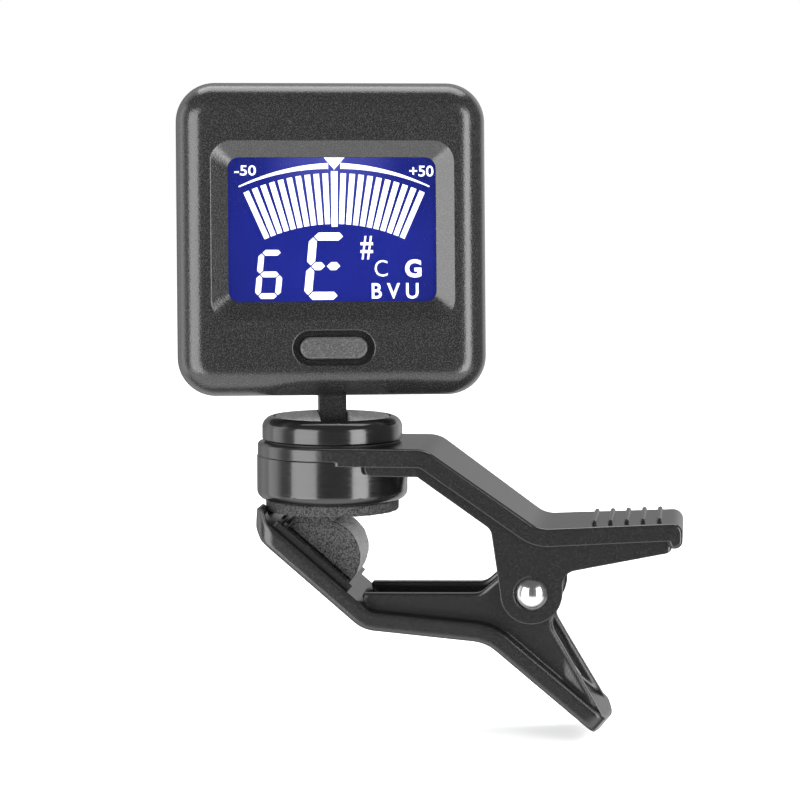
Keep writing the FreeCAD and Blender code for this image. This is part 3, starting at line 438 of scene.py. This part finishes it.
def plate_mesh(name, outlines):
    """Thin closed plates from flat outlines in the head's x and z, in millimetres."""
    mesh = bpy.data.meshes.new(name)
    work = bmesh.new()
    for outline in outlines:
        front = [work.verts.new(in_head(x, MARK_FRONT, z)) for x, z in outline]
        back = [work.verts.new(in_head(x, MARK_BACK, z)) for x, z in outline]
        work.faces.new(front)
        work.faces.new(list(reversed(back)))
        count = len(outline)
        for i in range(count):
            j = (i + 1) % count
            work.faces.new([front[i], back[i], back[j], front[j]])
    bmesh.ops.recalc_face_normals(work, faces=work.faces)
    work.to_mesh(mesh)
    work.free()
    lit_piece(name, mesh)


def fan_point(radius, angle):
    return (FAN_CENTRE[0] + radius * math.sin(angle), FAN_CENTRE[1] + radius * math.cos(angle))


def scale_bars():
    """The scale's bars, a little narrower at their feet; the middle one is wider and longer."""
    bars = []
    for i in range(-BARS_EACH_SIDE, BARS_EACH_SIDE + 1):
        width = BAR_WIDTH if i else MIDDLE_BAR_WIDTH
        inner = BAR_INNER if i else MIDDLE_BAR_INNER
        outer = BAR_OUTER if i else MIDDLE_BAR_OUTER
        half_in = width * HALF_AT_INNER / inner
        half_out = width * HALF_AT_OUTER / outer
        a = i * BAR_STEP
        bars.append([fan_point(inner, a - half_in), fan_point(inner, a + half_in),
                     fan_point(outer, a + half_out), fan_point(outer, a - half_out)])
    return bars


def crescent(side):
    """One half of the arc over the bars: thick at the middle, thin at its tip."""
    outer, inner = [], []
    for k in range(ARC_STEPS + 1):
        t = k / ARC_STEPS
        a = side * (ARC_START + (ARC_END - ARC_START) * t)
        outer.append(fan_point(ARC_OUTER - ARC_OUTER_FALL * t, a))
        inner.append(fan_point(ARC_INNER + ARC_INNER_RISE * t, a))
    return outer + inner[::-1]


def placed(points, x, z):
    return [(x + px, z + pz) for px, pz in points]


def slanted(points):
    return [(px + FIGURE_SLANT * pz, pz) for px, pz in points]


def pointer():
    """The small triangle over the middle bar, tip down."""
    corners = [(-POINTER_HALF_WIDTH, POINTER_TOP), (POINTER_HALF_WIDTH, POINTER_TOP), (0.0, POINTER_TIP)]
    return placed(corners, DISPLAY_MID_X, DISPLAY_MID_Z)


def segment_bar(x0, z0, x1, z1, width):
    """One pointed segment of a seven-segment figure between two corner points."""
    dx, dz = x1 - x0, z1 - z0
    length = math.hypot(dx, dz)
    ux, uz = dx / length, dz / length
    nx, nz = -uz * width / 2, ux * width / 2
    ax, az = x0 + ux * SEGMENT_GAP, z0 + uz * SEGMENT_GAP
    bx, bz = x1 - ux * SEGMENT_GAP, z1 - uz * SEGMENT_GAP
    cut = width / 2
    return [(ax, az),
            (ax + ux * cut + nx, az + uz * cut + nz),
            (bx - ux * cut + nx, bz - uz * cut + nz),
            (bx, bz),
            (bx - ux * cut - nx, bz - uz * cut - nz),
            (ax + ux * cut - nx, az + uz * cut - nz)]


def seven_segments(which, width, height, stroke):
    """Segments of a figure drawn in a box whose lower left corner is 0, 0."""
    left, right = stroke / 2, width - stroke / 2
    low, mid, top = stroke / 2, height / 2, height - stroke / 2
    middle = (left + right) / 2
    lines = {
        "a": [(left, top, right, top)],
        "b": [(right, mid, right, top)],
        "c": [(right, low, right, mid)],
        "d": [(left, low, right, low)],
        "e": [(left, low, left, mid)],
        "f": [(left, mid, left, top)],
        "g": [(left, mid, right, mid)],
        "h": [(left, mid, middle, mid), (middle, mid, right, mid)],
    }
    return [segment_bar(*line, stroke) for key in which for line in lines[key]]


def lettering(name, text, x, z, width, height, weight):
    """Text in the plain built-in font, stretched to a box whose lower left corner is x, z."""
    curve = bpy.data.curves.new(name, "FONT")
    curve.body = text
    curve.offset = weight
    curve.resolution_u = TEXT_CURVE_STEPS
    source = bpy.data.objects.new(name + "_source", curve)
    bpy.context.scene.collection.objects.link(source)
    bpy.context.view_layer.update()
    graph = bpy.context.evaluated_depsgraph_get()
    flat = bpy.data.meshes.new_from_object(source.evaluated_get(graph))
    bpy.data.objects.remove(source)
    low_x = min(v.co.x for v in flat.vertices)
    high_x = max(v.co.x for v in flat.vertices)
    low_y = min(v.co.y for v in flat.vertices)
    high_y = max(v.co.y for v in flat.vertices)
    for v in flat.vertices:
        u = x + (v.co.x - low_x) / (high_x - low_x) * width
        w = z + (v.co.y - low_y) / (high_y - low_y) * height
        v.co = in_head(DISPLAY_MID_X + u, MARK_FRONT, DISPLAY_MID_Z + w)
    flat.name = name
    lit_piece(name, flat)


def figure(name, which, x, z, width, height, stroke):
    """A slanted seven-segment figure; its box has room for the slant."""
    outlines = []
    for segment in seven_segments(which, width - FIGURE_SLANT * height, height, stroke):
        outlines.append(placed(slanted(segment), DISPLAY_MID_X + x, DISPLAY_MID_Z + z))
    plate_mesh(name, outlines)


plate_mesh("scale_bars", scale_bars())
plate_mesh("scale_arc", [crescent(-1), crescent(1)])
plate_mesh("centre_pointer", [pointer()])

# name, lit segments, left and foot from the display's middle, width, height, stroke
for entry in (
    ("figure_small", "afgecd", -10.3, -9.1, 3.9, 6.25, 0.72),
    ("figure_large", "afhed", -4.05, -9.25, 5.8, 8.6, 1.02),
):
    figure(*entry)

# name, text, left and foot from the display's middle, width, height, added weight
for entry in (
    ("sharp_sign", "#", 3.3, -4.1, 1.6, 3.0, 0.01),
    ("mark_low", "-50", -12.75, 6.65, 2.75, 1.3, 0.012),
    ("mark_high", "+50", 9.65, 6.5, 3.1, 1.4, 0.012),
    ("mode_c", "C", 5.1, -6.3, 1.65, 2.1, -0.005),
    ("mode_g", "G", 9.0, -6.45, 2.1, 2.35, 0.035),
    ("mode_bvu", "B V U", 4.7, -9.15, 6.0, 2.0, 0.015),
):
    lettering(*entry)


# ------------------------------------------------------------ foam pads
# Lengths are in millimetres. The surface is set in by the inset, then pitted and gently waved.
FOAM_WELD = 0.002
FOAM_VOXEL = 0.16
FOAM_EASE_FACTOR = 0.5
FOAM_EASE_STEPS = 3
FOAM_INSET = 0.06
FOAM_PIT_DEPTH = 0.09
FOAM_WAVE_DEPTH = 0.05
# Per millimetre: how fast each pattern changes over the surface.
FOAM_CELL_SCALE = 2.6
FOAM_PIT_SCALE = 4.5
FOAM_WAVE_SCALE = 1.1
# Shares of the two pit patterns, and the least depth that they may give.
FOAM_CELL_PART = 0.25
FOAM_PIT_PART = 0.75
FOAM_PIT_LEAST = -0.2


def foam_piece(name, node, body, look):
    """Foam block from its CAD solid: remeshed, corners eased, then pitted like cut cells."""
    mesh = nodes[node].data.copy()
    mesh.name = name
    made = bpy.data.objects.new(name, mesh)
    bpy.context.scene.collection.objects.link(made)
    weld = made.modifiers.new("weld", "WELD")
    weld.merge_threshold = FOAM_WELD * MM
    remesh = made.modifiers.new("remesh", "REMESH")
    remesh.mode = "VOXEL"
    remesh.voxel_size = FOAM_VOXEL * MM
    ease = made.modifiers.new("ease", "SMOOTH")
    ease.factor = FOAM_EASE_FACTOR
    ease.iterations = FOAM_EASE_STEPS
    graph = bpy.context.evaluated_depsgraph_get()
    final = bpy.data.meshes.new_from_object(made.evaluated_get(graph))
    made.modifiers.clear()
    made.data = final
    normals = [v.normal.copy() for v in final.vertices]
    for v, normal in zip(final.vertices, normals):
        p = v.co / MM
        cells = noise.cell(p * FOAM_CELL_SCALE) * FOAM_CELL_PART
        pits = cells + noise.noise(p * FOAM_PIT_SCALE) * FOAM_PIT_PART
        waves = noise.noise(p * FOAM_WAVE_SCALE)
        depth = FOAM_INSET + FOAM_PIT_DEPTH * max(pits, FOAM_PIT_LEAST) + FOAM_WAVE_DEPTH * waves
        v.co -= normal * depth * MM
    final.polygons.foreach_set("use_smooth", [True] * len(final.polygons))
    final.materials.clear()
    final.materials.append(look.mat)
    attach(made, body)
    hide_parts(node)


foam_piece("upper_foam", "upper_pad", "clamp", looks["foam"])
# The lower pad's side faces get painted light.
foam_piece("lower_foam", "lower_pad", "lower_arm", foam("foam_painted_lit_side", 0.002, 0.07, side_light=0.3))


# ------------------------------------------------------------ floor
FLOOR_DROP = 0.0012
FLOOR_Z = cad_low.z - FLOOR_DROP
FLOOR_REACH = 3.0
FLOOR_GLOW = 0.3
PLAIN_WHITE = (1.0, 1.0, 1.0, 1.0)


def floor_look():
    s = Shader("floor_pale")
    s.colour(s.blend(s.noise(14.0, 3.0), 0.84, 0.88))
    s.set(Emission_Color=PLAIN_WHITE, Emission_Strength=FLOOR_GLOW)
    return s.set(Roughness=0.75, Specular_IOR_Level=0.0)


def add_floor():
    """A wide flat floor just under the object, unseen in reflections."""
    mesh = bpy.data.meshes.new("floor")
    corners = [(-FLOOR_REACH, -FLOOR_REACH, FLOOR_Z), (FLOOR_REACH, -FLOOR_REACH, FLOOR_Z),
               (FLOOR_REACH, FLOOR_REACH, FLOOR_Z), (-FLOOR_REACH, FLOOR_REACH, FLOOR_Z)]
    mesh.from_pydata(corners, [], [(0, 1, 2, 3)])
    mesh.materials.append(floor_look().mat)
    made = bpy.data.objects.new("floor", mesh)
    bpy.context.scene.collection.objects.link(made)
    made.visible_glossy = False
    made.visible_shadow = False


add_floor()


# ------------------------------------------------------------ room
# Reflections show a dim room with a wall, a table and a screen in it. Matt surfaces get an
# even, slightly cool light, and the camera sees plain white.
ROOM_DIM = 0.2
WALL_BRIGHT = 1.15
WALL_MIDDLE_DROP = 0.82
TABLE_BRIGHT = 2.4
SCREEN_BRIGHT = 2.6
MATT_STRENGTH = 0.85
SEEN_STRENGTH = 1.0
COOL_WHITE = (0.98, 0.99, 1.0, 1.0)

world = bpy.data.worlds.new("studio")
bpy.context.scene.world = world
world.use_nodes = True
tree = world.node_tree


def world_node(kind, **settings):
    made = tree.nodes.new(kind)
    for key, value in settings.items():
        setattr(made, key, value)
    return made


def world_light(colour, strength):
    made = world_node("ShaderNodeBackground")
    made.inputs["Color"].default_value = colour
    if isinstance(strength, (int, float)):
        made.inputs["Strength"].default_value = strength
    else:
        tree.links.new(strength, made.inputs["Strength"])
    return made.outputs[0]


def world_mix(factor, a, b):
    made = world_node("ShaderNodeMixShader")
    tree.links.new(factor, made.inputs[0])
    tree.links.new(a, made.inputs[1])
    tree.links.new(b, made.inputs[2])
    return made.outputs[0]


def world_math(operation, a, b):
    made = world_node("ShaderNodeMath", operation=operation)
    for i, value in enumerate((a, b)):
        if isinstance(value, (int, float)):
            made.inputs[i].default_value = value
        else:
            tree.links.new(value, made.inputs[i])
    return made.outputs[0]


def world_step(value, low, high, start, end):
    """Smooth change from start to end while the value goes from low to high."""
    made = world_node("ShaderNodeMapRange", interpolation_type="SMOOTHSTEP")
    tree.links.new(value, made.inputs["Value"])
    for key, number in (("From Min", low), ("From Max", high), ("To Min", start), ("To Max", end)):
        made.inputs[key].default_value = number
    return made.outputs["Result"]


def wall_behind(facing):
    """Pale wall behind and a little to the left, dimmer towards its middle."""
    backward = world_math("ADD", world_math("MULTIPLY", facing["Y"], 0.95),
                          world_math("MULTIPLY", facing["X"], -0.3))
    wall = world_step(backward, 0.2, 0.5, ROOM_DIM, WALL_BRIGHT)
    return world_math("SUBTRACT", wall, world_step(backward, 0.7, 0.97, 0.0, WALL_MIDDLE_DROP))


def table_in_front(facing):
    """Bright table below, strongest on the side in front of the object."""
    below = world_step(facing["Z"], -0.5, -0.15, TABLE_BRIGHT, 0.0)
    return world_math("MULTIPLY", below, world_step(facing["Y"], -0.35, 0.1, 1.0, 0.1))


def screen_at_left(facing):
    """Bright screen straight to the left, which ends at the back and dims towards the front."""
    leftward = world_step(facing["X"], -0.92, -0.75, SCREEN_BRIGHT, 0.0)
    band = world_math("SUBTRACT", world_step(facing["Y"], -0.3, 0.0, 0.2, 1.0),
                      world_step(facing["Y"], 0.2, 0.4, 0.0, 1.0))
    return world_math("MULTIPLY", leftward, band)


directions = world_node("ShaderNodeSeparateXYZ")
tree.links.new(world_node("ShaderNodeTexCoord").outputs["Generated"], directions.inputs["Vector"])
room = directions.outputs
wall_or_table = world_math("MAXIMUM", wall_behind(room), table_in_front(room))
mirrored = world_light(PLAIN_WHITE, world_math("MAXIMUM", wall_or_table, screen_at_left(room)))
matt = world_light(COOL_WHITE, MATT_STRENGTH)
seen = world_light(PLAIN_WHITE, SEEN_STRENGTH)
path = world_node("ShaderNodeLightPath")
lit = world_mix(path.outputs["Is Diffuse Ray"], mirrored, matt)
whole = world_mix(path.outputs["Is Camera Ray"], lit, seen)
tree.links.new(whole, tree.nodes["World Output"].inputs["Surface"])


# ------------------------------------------------------------ lights and camera
LIGHT_DISTANCE = 0.6
VIEW_AZIMUTH = 6.35
VIEW_ELEVATION = 5.39
VIEW_DISTANCE = 0.3434
VIEW_AIM_FROM_SWIVEL = Vector((0.00855, 0.00229, 0.00366))
SENSOR_WIDTH = 36.0
LENS_LENGTH = 119.25


def direction(azimuth, elevation):
    """Unit vector away from the object; azimuth 0 degrees is in front of it, 90 at its right."""
    a, e = math.radians(azimuth), math.radians(elevation)
    return Vector((math.sin(a) * math.cos(e), -math.cos(a) * math.cos(e), math.sin(e)))


def soft_light(name, azimuth, elevation, width, height, watts):
    """A rectangular light that faces the object's middle."""
    data = bpy.data.lights.new(name, "AREA")
    data.shape = "RECTANGLE"
    data.size = width
    data.size_y = height
    data.energy = watts
    made = bpy.data.objects.new(name, data)
    bpy.context.scene.collection.objects.link(made)
    made.location = centre + LIGHT_DISTANCE * direction(azimuth, elevation)
    made.rotation_mode = "QUATERNION"
    made.rotation_quaternion = (centre - made.location).to_track_quat("-Z", "Y")
    return made


soft_light("left_box", azimuth=-37, elevation=2, width=0.44, height=0.62, watts=5.4)
soft_light("right_box", azimuth=50, elevation=2, width=0.28, height=0.62, watts=4.6)
soft_light("top_box", azimuth=180, elevation=76, width=0.7, height=0.34, watts=3.9)
side_box = soft_light("side_box", azimuth=112, elevation=14, width=0.36, height=0.5, watts=4.0)
side_box.visible_glossy = False

away = direction(VIEW_AZIMUTH, VIEW_ELEVATION)
aim = Vector(joints["turret_swivel"]["pos_m"]) + VIEW_AIM_FROM_SWIVEL
lens = bpy.data.cameras.new("view")
lens.sensor_width = SENSOR_WIDTH
lens.lens = LENS_LENGTH
lens.clip_start = 0.01
lens.clip_end = 20.0
camera = bpy.data.objects.new("view", lens)
bpy.context.scene.collection.objects.link(camera)
camera.location = aim + away * VIEW_DISTANCE
camera.rotation_mode = "QUATERNION"
camera.rotation_quaternion = (-away).to_track_quat("-Z", "Y")
bpy.context.scene.camera = camera
bpy.context.scene.view_settings.view_transform = "Standard"
